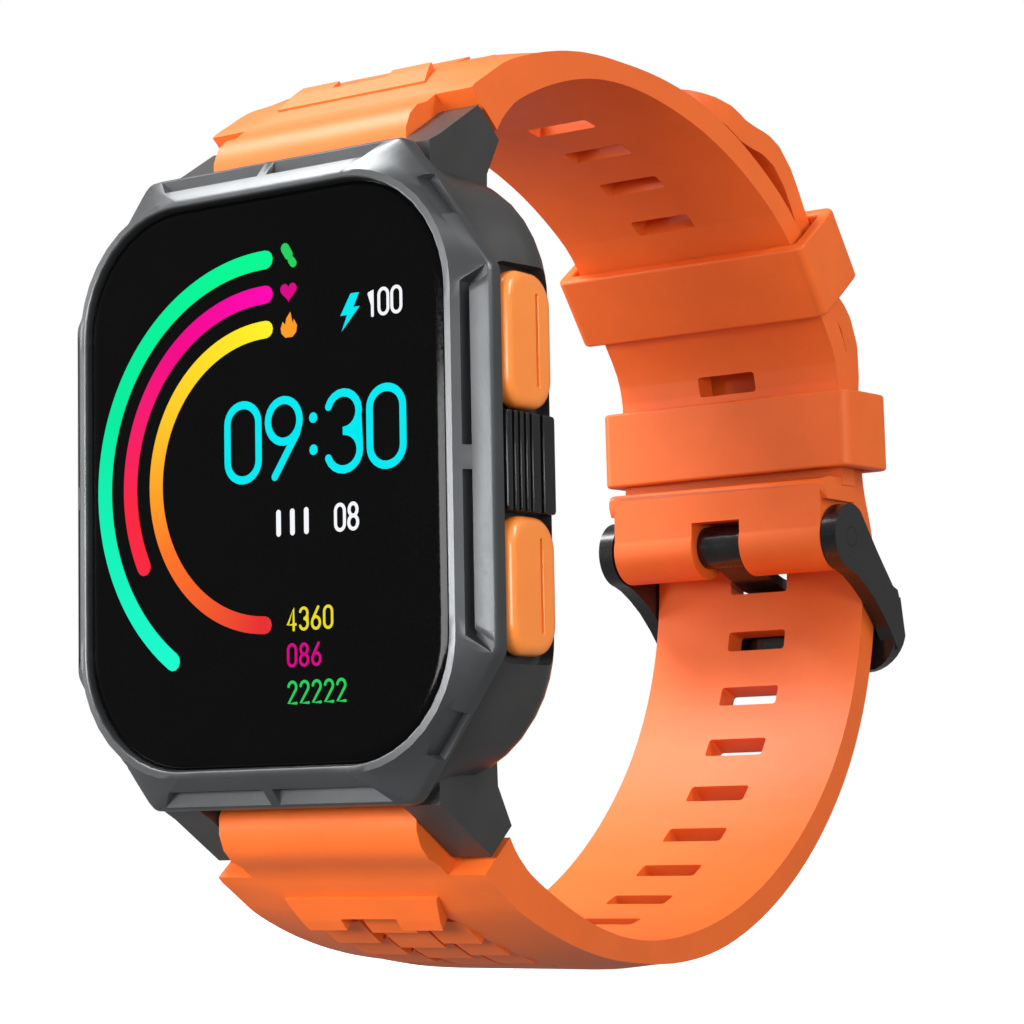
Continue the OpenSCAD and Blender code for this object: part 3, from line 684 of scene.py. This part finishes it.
def keeper(name, s, body, node):
    """A moulded loop round both layers, with round corners, at s along the short strap."""
    d, z, heading = pose(SHORT_PATH, SHORT_START, s)
    h = math.radians(heading)
    along, out = np.array((math.cos(h), math.sin(h))), np.array((-math.sin(h), math.cos(h)))
    half_length, inside, outside, play, wall = 3.6, 12.3, 13.5, 0.3, 1.35
    low, high = -play, STRAP_T + LAYER_GAP + TAIL_T + play
    outer = rounded([(-outside, low - wall), (outside, low - wall), (outside, high + wall),
                     (-outside, high + wall)], 1.0)
    inner = rounded([(-inside, low), (inside, low), (inside, high), (-inside, high)], 0.35)
    rings = []
    for end, line in ((-1, outer), (1, outer), (1, inner), (-1, inner)):
        ring = []
        for x, o in line:
            q = np.array((d, z)) + along * half_length * end + out * o
            ring.append((x, *q))
        rings.append(ring)
    done(make(name, loft(rings, around=True)), STRAP, body, (node,), bevel=0.3, limit=50)


keeper("upper_keeper_loop", 57.1, "upper_keeper", "upper_keeper")
keeper("lower_keeper_loop", 72.4, "lower_keeper", "lower_keeper")


# ---------------------------------------------------------------- buckle

ARM = (arc_points((PIN_D, PIN_Z), 3.1, 52, 262, 22)
       + [(70.1, -3.9), (71.6, -4.7), (73.4, -5.9), (75.2, -7.5), (76.4, -8.8), (77.8, -10.6), (79.3, -9.2),
          (78.9, -7.0), (78.1, -4.9), (77.2, -4.6), (74.2, -1.4)])
arms = merge(side_prism(ARM, -ARM_OUT, -ARM_IN), side_prism(ARM, ARM_IN, ARM_OUT))
buckle = make("buckle_frame_body", arms)
PLATE_SIDE = [(77.3, -5.6), (78.6, -5.6), (79.35, -9.2), (77.9, -12.6), (76.9, -12.4), (77.1, -9.0)]
bar_plate = make("bar_plate", side_prism(PLATE_SIDE, -ARM_OUT, ARM_OUT))
plate_front = rounded([(-ARM_OUT, -12.6), (ARM_OUT, -12.6), (ARM_OUT, 2), (-ARM_OUT, 2)], 3.2, 8)
boolean(bar_plate, front_prism(plate_front, 70, 90), "INTERSECT")
mod = buckle.modifiers.new("join", "BOOLEAN")
mod.operation, mod.solver, mod.object = "UNION", "EXACT", bar_plate
apply(buckle)
bpy.data.objects.remove(bar_plate)
pin_hole = rod_x(PIN_HOLE_R, -15, 15, PIN_D, PIN_Z)
tongue_seat = block(-2.5, 2.5, 78.6, 82, -9, -4)
boolean(buckle, merge(pin_hole, tongue_seat))
done(buckle, BUCKLE, "buckle_frame", ("buckle_frame",), bevel=0.35, limit=40)

TONGUE = [(PIN_D + 0.6, PIN_Z - 1.8), (75.2, -4.3), (78.9, -4.9), (78.9, -8), (79.6, -8.4), (80.3, -7.6),
          (80.3, -4.9), (79.4, -4), (75.4, -3.3), (73, -2.55), (PIN_D + 1.7, PIN_Z + 0.6)]
tongue = make("buckle_tongue_body", rod_x(2.0, -HUB_HALF, HUB_HALF, PIN_D, PIN_Z))
boolean(tongue, side_prism(TONGUE, -2.2, 2.2), "UNION")
boolean(tongue, pin_hole)
done(tongue, BUCKLE, "buckle_tongue", ("buckle_tongue",), bevel=0.25, limit=40)


# ---------------------------------------------------------------- case

LUG = [(4.4, 18), (4.4, 25.0), (5.6, 25.6), (10.8, 28.9), (13.5, 26.6), (11.8, 23.6), (11.6, 18)]
# (depth, inset, share of the rounder outline that the back part has)
CASE_STEPS = [(3.42, 0.5, 0.0), (3.5, 0.2, 0.0), (4.4, 0.0, 0.12), (5.6, 0.0, 0.4), (7.2, 0.0, 0.8),
              (8.6, 0.0, 1.0), (9.3, 0.12, 1.0), (10.0, 0.45, 1.0), (10.8, 1.1, 1.0), (11.6, 2.1, 1.0),
              (12.1, 3.0, 1.0)]


def case_ring(depth, inset, share):
    front = octagon_ring(HALF_W - inset, HALF_H - 0.4 - inset, 2.0)
    back = glass_ring(HALF_W - inset, 23.3 - inset, 10.2 - 0.5 * inset)
    return at_depth(mix(front, back, share), depth)


case = make("case_body", loft([case_ring(*step) for step in CASE_STEPS]))
for end in (1, -1):
    for side in (1, -1):
        lug = mirrored(side_prism(LUG, LUG_IN, LUG_OUT), x=side, z=end)
        boolean(case, lug, "UNION")
    strap_room = block(-LUG_IN, LUG_IN, 5.2, 14, *sorted((22.5 * end, 31 * end)))
    tip_holes = [rod_x(0.52, x, x + 3, BAR_D, end * BAR_Z) for x in (9.0, -12.0)]
    boolean(case, merge(strap_room, *tip_holes))
side_recess = rounded([(3.45, -14.9), (9.95, -14.9), (9.95, 14.9), (3.45, 14.9)], 1.2, 4)
boolean(case, side_prism(side_recess, 19.0, 23))
boolean(case, front_prism(rounded(case_points(17.9, 21.0), 1.5, 4), 11.3, 14))
boolean(case, front_prism(rounded(case_points(17.4, 20.0), 1.5, 4), 3.3, 11.5))
done(case, CASE, "case", ("mid_case",), bevel=0.22, limit=30)

# Block between the buttons
side_block = make("side_block_body", side_prism(
    rounded([(3.6, -3.7), (9.8, -3.7), (9.8, 3.7), (3.6, 3.7)], 0.3, 3), 19.0, 20.75))
grooves = [block(20.3, 22, 4.3 + 0.75 * k, 4.6 + 0.75 * k, -5, 5) for k in range(4)]
boolean(side_block, merge(*grooves, block(20.2, 22, 7.9, 8.3, -5, 5)))
done(side_block, GLOSS, "case", ("side_block",), bevel=0.12, limit=40)


# ---------------------------------------------------------------- bezel

BEZEL_BACK, BEZEL_SEAT, EDGE_R = 3.4, 1.6, 1.6
rim = glass_ring(GLASS_W + 0.1, GLASS_H + 0.1, GLASS_R + 0.1)
lip = glass_ring(GLASS_W + 0.3, GLASS_H + 0.3, GLASS_R + 0.3)
flat_edge = glass_ring(GLASS_W + 0.75, GLASS_H + 0.75, GLASS_R + 0.6)
edge = octagon_ring(HALF_W, HALF_H, EDGE_R)
back_edge = octagon_ring(HALF_W - 0.15, HALF_H - 0.15, EDGE_R)
inner_back = glass_ring(16.9, 21.1, 8.6)
bezel_rings = [
    at_depth(rim, BEZEL_SEAT), at_depth(rim, 0.3), at_depth(mix(rim, lip, 0.5), 0.06), at_depth(lip, 0.0),
    at_depth(flat_edge, 0.05), at_depth(mix(flat_edge, edge, 0.5), 0.98),
    at_depth(mix(flat_edge, edge, 0.93), 1.92), at_depth(edge, 2.4), at_depth(edge, 3.3),
    at_depth(back_edge, BEZEL_BACK), at_depth(inner_back, BEZEL_BACK), at_depth(inner_back, BEZEL_SEAT),
]
bezel = make("bezel_ring", loft(bezel_rings, around=True))
# One quarter of the cuts: a channel along the side, a ledge at the end and a notch across the cut corner
channel = [(18.9, 0.9), (19.45, 0.9), (19.45, 12.5), (21.2, 14.2), (21.2, 15.05), (18.9, 12.95)]
ledge = [(0.45, 23.55), (9.9, 23.55), (11.9, 25.4), (0.45, 25.4)]
notch_in, notch_out = (14.6, 21.4), (17.1, 18.15)
across = 3 * np.array((0.811, 0.586))
notch = [notch_in, tuple(notch_in + across), tuple(notch_out + across), notch_out]
cuts = []
for sx in (1, -1):
    for sz in (1, -1):
        for outline, depth in ((channel, 1.9), (ledge, 1.8), (notch, 2.9)):
            cuts.append(mirrored(front_prism(outline, -1, depth), sx, sz))
boolean(bezel, merge(*cuts))
done(bezel, BEZEL, "case", ("bezel",), bevel=0.1, segments=2, limit=32, sharp=40)


# ---------------------------------------------------------------- glass and display

glass_steps = ((0.0, BEZEL_SEAT), (0.0, 0.85), (0.07, 0.66), (0.25, 0.52), (0.55, 0.44), (1.0, 0.4))
glass_rings = [
    at_depth(glass_ring(GLASS_W - inset, GLASS_H - inset, GLASS_R - inset), d) for inset, d in glass_steps]
glass = make("front_glass_body", loft(glass_rings))
done(glass, GLASS, "case", ("front_glass", "display_panel"), bevel=0)

FACE_D, FACE_T = 0.385, 0.03  # depth of the lit marks, a hair above the glass, and their thickness
DIAL = (0.65, 0.1)  # centre of the three arcs


def glow(name, color):
    """Light of a display mark in one colour, a little uneven."""
    mat, nodes, links, p = shader(name, (0.0, 0.0, 0.0), 0.15, spec=0.1)
    p.inputs["Emission Strength"].default_value = 1.0
    grain = noise_of(nodes, links, 14.0, 1.0)
    dim = tuple(v * 0.93 for v in color)
    links.new(ramp_of(nodes, links, grain, dim, color, 0.35, 0.65), p.inputs["Emission Color"])
    return mat


def glow_round(name, colors, centre=DIAL):
    """Light that changes colour round a centre, by stops of (share of the half turn, colour)."""
    mat, nodes, links, p = shader(name, (0.0, 0.0, 0.0), 0.15, spec=0.1)
    p.inputs["Emission Strength"].default_value = 1.0
    place = nodes.new("ShaderNodeTexCoord")
    split = nodes.new("ShaderNodeSeparateXYZ")
    links.new(place.outputs["Object"], split.inputs["Vector"])
    parts = []
    for axis, shift in (("X", centre[0]), ("Z", centre[1])):
        node = nodes.new("ShaderNodeMath")
        node.operation = "SUBTRACT"
        node.inputs[1].default_value = shift * MM
        links.new(split.outputs[axis], node.inputs[0])
        parts.append(node)
    turn = nodes.new("ShaderNodeMath")
    turn.operation = "ARCTAN2"
    flip = nodes.new("ShaderNodeMath")
    flip.operation = "MULTIPLY"
    flip.inputs[1].default_value = -1
    links.new(parts[0].outputs[0], flip.inputs[0])
    links.new(flip.outputs[0], turn.inputs[0])
    links.new(parts[1].outputs[0], turn.inputs[1])
    span = nodes.new("ShaderNodeMapRange")
    span.inputs["From Min"].default_value = -0.1
    span.inputs["From Max"].default_value = math.pi
    links.new(turn.outputs[0], span.inputs["Value"])
    ramp = nodes.new("ShaderNodeValToRGB")
    ramp.color_ramp.elements[0].position = colors[0][0]
    ramp.color_ramp.elements[0].color = (*colors[0][1], 1)
    ramp.color_ramp.elements[1].position = colors[-1][0]
    ramp.color_ramp.elements[1].color = (*colors[-1][1], 1)
    for position, color in colors[1:-1]:
        ramp.color_ramp.elements.new(position).color = (*color, 1)
    links.new(span.outputs["Result"], ramp.inputs["Fac"])
    links.new(ramp.outputs["Color"], p.inputs["Emission Color"])
    return mat


def flat(outline):
    """A thin solid on the glass."""
    return front_prism(outline, FACE_D, FACE_D + FACE_T)


def stroke(line, width):
    """A flat band with round ends along a line of (x, z) points."""
    line = [np.array(p, float) for p in line]
    half, steps = width / 2, 6
    left, right = [], []
    for i, p in enumerate(line):
        along = unit(line[min(i + 1, len(line) - 1)] - line[max(i - 1, 0)])
        side = np.array((-along[1], along[0]))
        left.append(tuple(p + side * half))
        right.append(tuple(p - side * half))
    caps = []
    for p, q in ((line[0], line[1]), (line[-1], line[-2])):
        away = unit(p - q)
        a0 = math.degrees(math.atan2(away[1], away[0]))
        caps.append([tuple(on_circle(p, half, a0 - 90 + 180 * k / steps)) for k in range(1, steps)])
    return flat(right + caps[1] + left[::-1] + caps[0])


def lit(name, solid, material):
    done(make(name, solid), material, "case", (), bevel=0)


GREEN, AQUA = (0.0, 0.95, 0.30), (0.01, 0.95, 0.62)
lit("dial_outer", stroke(arc_points(DIAL, 16.7, 90, 234.6, 60), 1.45),
    glow_round("light_outer", [(0.05, GREEN), (0.4, (0.0, 0.85, 0.35)), (0.8, AQUA)]))
lit("dial_middle", stroke(arc_points(DIAL, 14.0, 90, 205.7, 50), 1.4),
    glow_round("light_middle", [(0.02, (1.0, 0.0, 0.45)), (0.25, (0.9, 0.0, 0.25)),
                                (0.55, (0.95, 0.02, 0.05))]))
# This arc ends nearly below its centre, so its colours turn round a point to the right of the arc's end
lit("dial_inner", stroke(arc_points(DIAL, 11.3, 90, 268, 56), 1.35),
    glow_round("light_inner", [(0.05, (1.0, 0.9, 0.02)), (0.35, (1.0, 0.62, 0.02)),
                               (0.65, (1.0, 0.18, 0.02)), (0.95, (0.8, 0.03, 0.03))], centre=(1.6, 0.1)))

WHITE = glow("light_white", (0.95, 0.97, 1.0))
CYAN = glow("light_cyan", (0.0, 0.85, 0.92))
YELLOW = glow("light_yellow", (0.85, 0.75, 0.02))
PINK = glow("light_pink", (0.75, 0.0, 0.25))
LIME = glow("light_lime", (0.02, 0.65, 0.12))
AMBER = glow("light_amber", (1.0, 0.35, 0.02))


def bow(cx, cz, rx, rz, a0, a1, steps=14):
    angles = [math.radians(a0 + (a1 - a0) * k / steps) for k in range(steps + 1)]
    return [(cx + rx * math.cos(a), cz + rz * math.sin(a)) for a in angles]


def digit_lines(n):
    """Strokes of a numeral in a box 1 wide and 2 high, with round bowls."""
    if n == "0":
        left = bow(0.5, 0.5, 0.5, 0.5, 180, 360)
        right = bow(0.5, 1.5, 0.5, 0.5, 0, 180)
        return [left + right + [left[0]]]
    if n == "1":
        return [[(0.35, 1.75), (0.7, 2.0), (0.7, 0.0)]]
    if n == "2":
        return [bow(0.5, 1.5, 0.5, 0.5, 170, -25) + [(0.0, 0.0), (1.0, 0.0)]]
    if n == "3":
        return [bow(0.5, 1.5, 0.48, 0.5, 160, -90) + bow(0.5, 0.5, 0.5, 0.5, 90, -160)]
    if n == "4":
        return [[(1.0, 0.5), (0.0, 0.5), (0.75, 2.0), (0.75, 0.0)]]
    if n == "6":
        return [[(0.8, 2.0), (0.1, 0.9)] + bow(0.5, 0.55, 0.5, 0.55, 150, 510, 24)]
    if n == "8":
        return [bow(0.5, 1.52, 0.44, 0.48, -90, 270, 20), bow(0.5, 0.52, 0.5, 0.52, 90, 450, 20)]
    return [[(0.2, 0.0), (0.92, 1.1)] + bow(0.5, 1.45, 0.5, 0.55, -30, 330, 24)]  # 9


def numerals(text, x, z, wide, high, gap, width):
    """Numerals from (x, z), their lower left corner; a colon is two dots."""
    out = []
    for n in text:
        if n == ":":
            for share in (0.3, 0.72):
                dot_x, dot_z = x + wide * 0.12, z + high * share
                out.append(stroke([(dot_x, dot_z - 0.02), (dot_x, dot_z + 0.02)], width * 1.25))
            x += gap + wide * 0.24
            continue
        for line in digit_lines(n):
            points = [(x + px * wide, z + pz / 2 * high) for px, pz in line]
            if math.dist(points[0], points[-1]) < 0.05:
                points.append(points[1])
            out.append(stroke(points, width))
        x += wide + gap
    return merge(*out)


lit("time_numerals", numerals("09:30", -3.3, 0.0, 3.1, 5.8, 0.95, 0.62), CYAN)
lit("battery_numerals", numerals("100", 10.35, 11.3, 0.85, 1.9, 0.36, 0.26), WHITE)
lit("date_numerals", numerals("08", 7.2, -4.5, 0.85, 1.9, 0.4, 0.28), WHITE)
day_x = [1.7 + 1.35 * k for k in range(3)]
lit("day_marks", merge(*[stroke([(x, -4.35), (x, -2.75)], 0.45) for x in day_x]), WHITE)
lit("yellow_numerals", numerals("4360", 2.5, -11.7, 0.75, 1.6, 0.42, 0.22), YELLOW)
lit("pink_numerals", numerals("086", 2.5, -14.4, 0.75, 1.6, 0.42, 0.22), PINK)
lit("green_numerals", numerals("22222", 2.5, -17.2, 0.75, 1.6, 0.42, 0.22), LIME)


# Small symbols at the start of the arcs
SYMBOL_X, HEART_HALF = 2.9, 0.85
heart = []
for a in np.arange(36) * 2 * np.pi / 36:
    rise = 13 * math.cos(a) - 5 * math.cos(2 * a) - 2 * math.cos(3 * a) - math.cos(4 * a)
    heart.append((16 * math.sin(a) ** 3 / 17 * HEART_HALF, rise / 17 * HEART_HALF))
lit("heart_mark", flat([(SYMBOL_X + x, 14.1 + z) for x, z in heart]), PINK)
flame = [(-0.35, -0.95), (0.35, -0.95), (0.72, -0.6), (0.8, -0.1), (0.5, 0.4), (0.4, 0.05), (0.15, 1.0),
         (-0.25, 0.5), (-0.35, 0.05), (-0.6, 0.3), (-0.8, -0.2), (-0.72, -0.6)]
lit("flame_mark", flat([(SYMBOL_X + x, 11.5 + z) for x, z in flame]), AMBER)
leaf_parts = (stroke([(2.6, 17.45), (2.95, 16.9)], 0.8), stroke([(3.2, 16.45), (3.4, 16.2)], 0.65))
lit("leaf_mark", merge(*leaf_parts), LIME)
lit("bolt_mark", flat([(8.9, 13.2), (9.7, 13.2), (9.15, 12.15), (9.75, 12.15), (8.0, 10.4), (8.55, 11.6),
                       (7.9, 11.6)]), CYAN)


# ---------------------------------------------------------------- buttons

BUTTON_Z, STEM_D = 9.15, 6.7


def button(name, z, body, node):
    """A cap that rounds off towards its face, with a thin groove, on its stem."""
    steps = ((19.42, 0.15), (19.6, 0.0), (20.2, 0.0), (20.55, 0.12), (20.8, 0.4), (20.92, 0.85))
    rings = []
    for x, inset in steps:
        line = rounded(box_points(3.05 - inset, 5.15 - inset), 2.3 - inset * 0.6, 8)
        rings.append([(x, 6.6 + a, z + b) for a, b in line])
    cap = make(name, loft(rings))
    boolean(cap, block(20.6, 22, 7.35, 7.65, z - 3.5, z + 3.5))
    boolean(cap, rod_x(0.9, 16.4, 19.6, STEM_D, z), "UNION")
    done(cap, BUTTON, body, (node,), bevel=0.12, limit=40)


button("upper_button_cap", BUTTON_Z, "upper_button", "upper_button")
button("lower_button_cap", -BUTTON_Z, "lower_button", "lower_button")


# ---------------------------------------------------------------- back

COVER_FRONT, COVER_BACK = 11.3, 12.6
WINDOW_SIDES = 96
SCREWS = [(x, z) for x in (-12.2, 12.2) for z in (-13.4, 13.4)]
CONTACTS = [(x, -14.6) for x in (-1.6, 1.6)]
cover_outline = rounded(case_points(17.85, 20.95), 1.5)
cover = make("back_cover_plate", front_prism(cover_outline, COVER_FRONT, COVER_BACK))
window_hole = rod_y(9.2, 10, 14, 0, 0, WINDOW_SIDES)
boolean(cover, merge(window_hole, *[rod_y(0.8, 5, 14, x, z) for x, z in CONTACTS]))
boolean(cover, merge(*[rod_y(1.1, 11.9, 14, x, z) for x, z in SCREWS]))
boolean(cover, merge(*[rod_y(0.55, 5, 14, x, z) for x, z in SCREWS]))
done(cover, COVER, "case", ("back_cover",), bevel=0.15, limit=40)

# (radius, depth)
DOME = [(9.18, COVER_FRONT), (9.18, 12.55), (9.0, 12.75), (8.6, 13.1), (8.0, 13.4), (7.2, 13.56), (5, 13.6)]
dome = make("sensor_window_dome", loft([at_depth(circle(r, 0, 0, WINDOW_SIDES), d) for r, d in DOME]))
done(dome, SENSOR, "case", ("sensor_window",), bevel=0)


# ---------------------------------------------------------------- studio and camera

def emitter(name, place, target, size, power):
    """A soft light; place, target and size are in millimetres, and power is in watts."""
    data = bpy.data.lights.new(name, "AREA")
    data.shape = "RECTANGLE"
    data.size, data.size_y = size[0] * MM, size[1] * MM
    data.energy = power
    obj = bpy.data.objects.new(name, data)
    bpy.context.scene.collection.objects.link(obj)
    obj.location = Vector(place) * MM
    obj.rotation_mode = "QUATERNION"
    obj.rotation_quaternion = (Vector(target) * MM - obj.location).to_track_quat("-Z", "Y")


emitter("key", (-150, -90, 330), (0, 20, 0), (170, 170), 1.85)
emitter("left_strip", (-300, -100, 40), (0, 0, 0), (50, 300), 0.95)
emitter("front_low", (-20, -330, 12), (0, 10, -30), (240, 90), 1.3)
emitter("right_front", (330, -170, 20), (0, 20, 0), (60, 100), 0.42)
emitter("right_rim", (240, 40, 170), (10, 10, 10), (60, 160), 0.35)

# The camera sees a white background, which lights the object less than it shows
WORLD_LIGHT = 0.28
world = bpy.data.worlds.new("studio")
bpy.context.scene.world = world
world.use_nodes = True
sky = world.node_tree
background = sky.nodes["Background"]
background.inputs["Color"].default_value = (1, 1, 1, 1)
path = sky.nodes.new("ShaderNodeLightPath")
level = sky.nodes.new("ShaderNodeMapRange")
level.inputs["To Min"].default_value = WORLD_LIGHT
level.inputs["To Max"].default_value = 1.0
sky.links.new(path.outputs["Is Camera Ray"], level.inputs["Value"])
sky.links.new(level.outputs["Result"], background.inputs["Strength"])

# The floor shines by itself, as pale as the background, and doesn't light the object from below
FLOOR_HALF, FLOOR_GAP = 3.0, 0.0002
floor_mesh = bpy.data.meshes.new("floor")
floor_corners = [(x, y, cad_low.z - FLOOR_GAP) for x, y in box_points(FLOOR_HALF, FLOOR_HALF)]
floor_mesh.from_pydata(floor_corners, [], [(0, 1, 2, 3)])
floor = bpy.data.objects.new("floor", floor_mesh)
bpy.context.scene.collection.objects.link(floor)
paper, _, _, paper_shader = shader("paper", (0.5, 0.5, 0.5), 0.9)
paper_shader.inputs["Emission Color"].default_value = (1, 1, 1, 1)
paper_shader.inputs["Emission Strength"].default_value = 0.97
floor_mesh.materials.append(paper)
floor.visible_diffuse = False
floor.visible_glossy = False

CAMERA_PLACE = Vector((144.87, -185.67, -27.38)) * MM
yaw, pitch, roll = (math.radians(a) for a in (35.18, 6.22, -1.073))
level_right = Vector((math.cos(yaw), math.sin(yaw), 0))
ahead = Vector((-math.sin(yaw) * math.cos(pitch), math.cos(yaw) * math.cos(pitch), math.sin(pitch)))
level_up = level_right.cross(ahead)
right = level_right * math.cos(roll) + level_up * math.sin(roll)
up = level_up * math.cos(roll) - level_right * math.sin(roll)
camera_data = bpy.data.cameras.new("camera")
camera_data.sensor_width = 36.0
camera_data.lens = 104.52
camera_data.clip_start = 0.01
camera = bpy.data.objects.new("camera", camera_data)
bpy.context.scene.collection.objects.link(camera)
camera.matrix_world = Matrix.Translation(CAMERA_PLACE) @ Matrix((right, up, -ahead)).transposed().to_4x4()
bpy.context.scene.camera = camera
bpy.context.scene.view_settings.view_transform = "Standard"
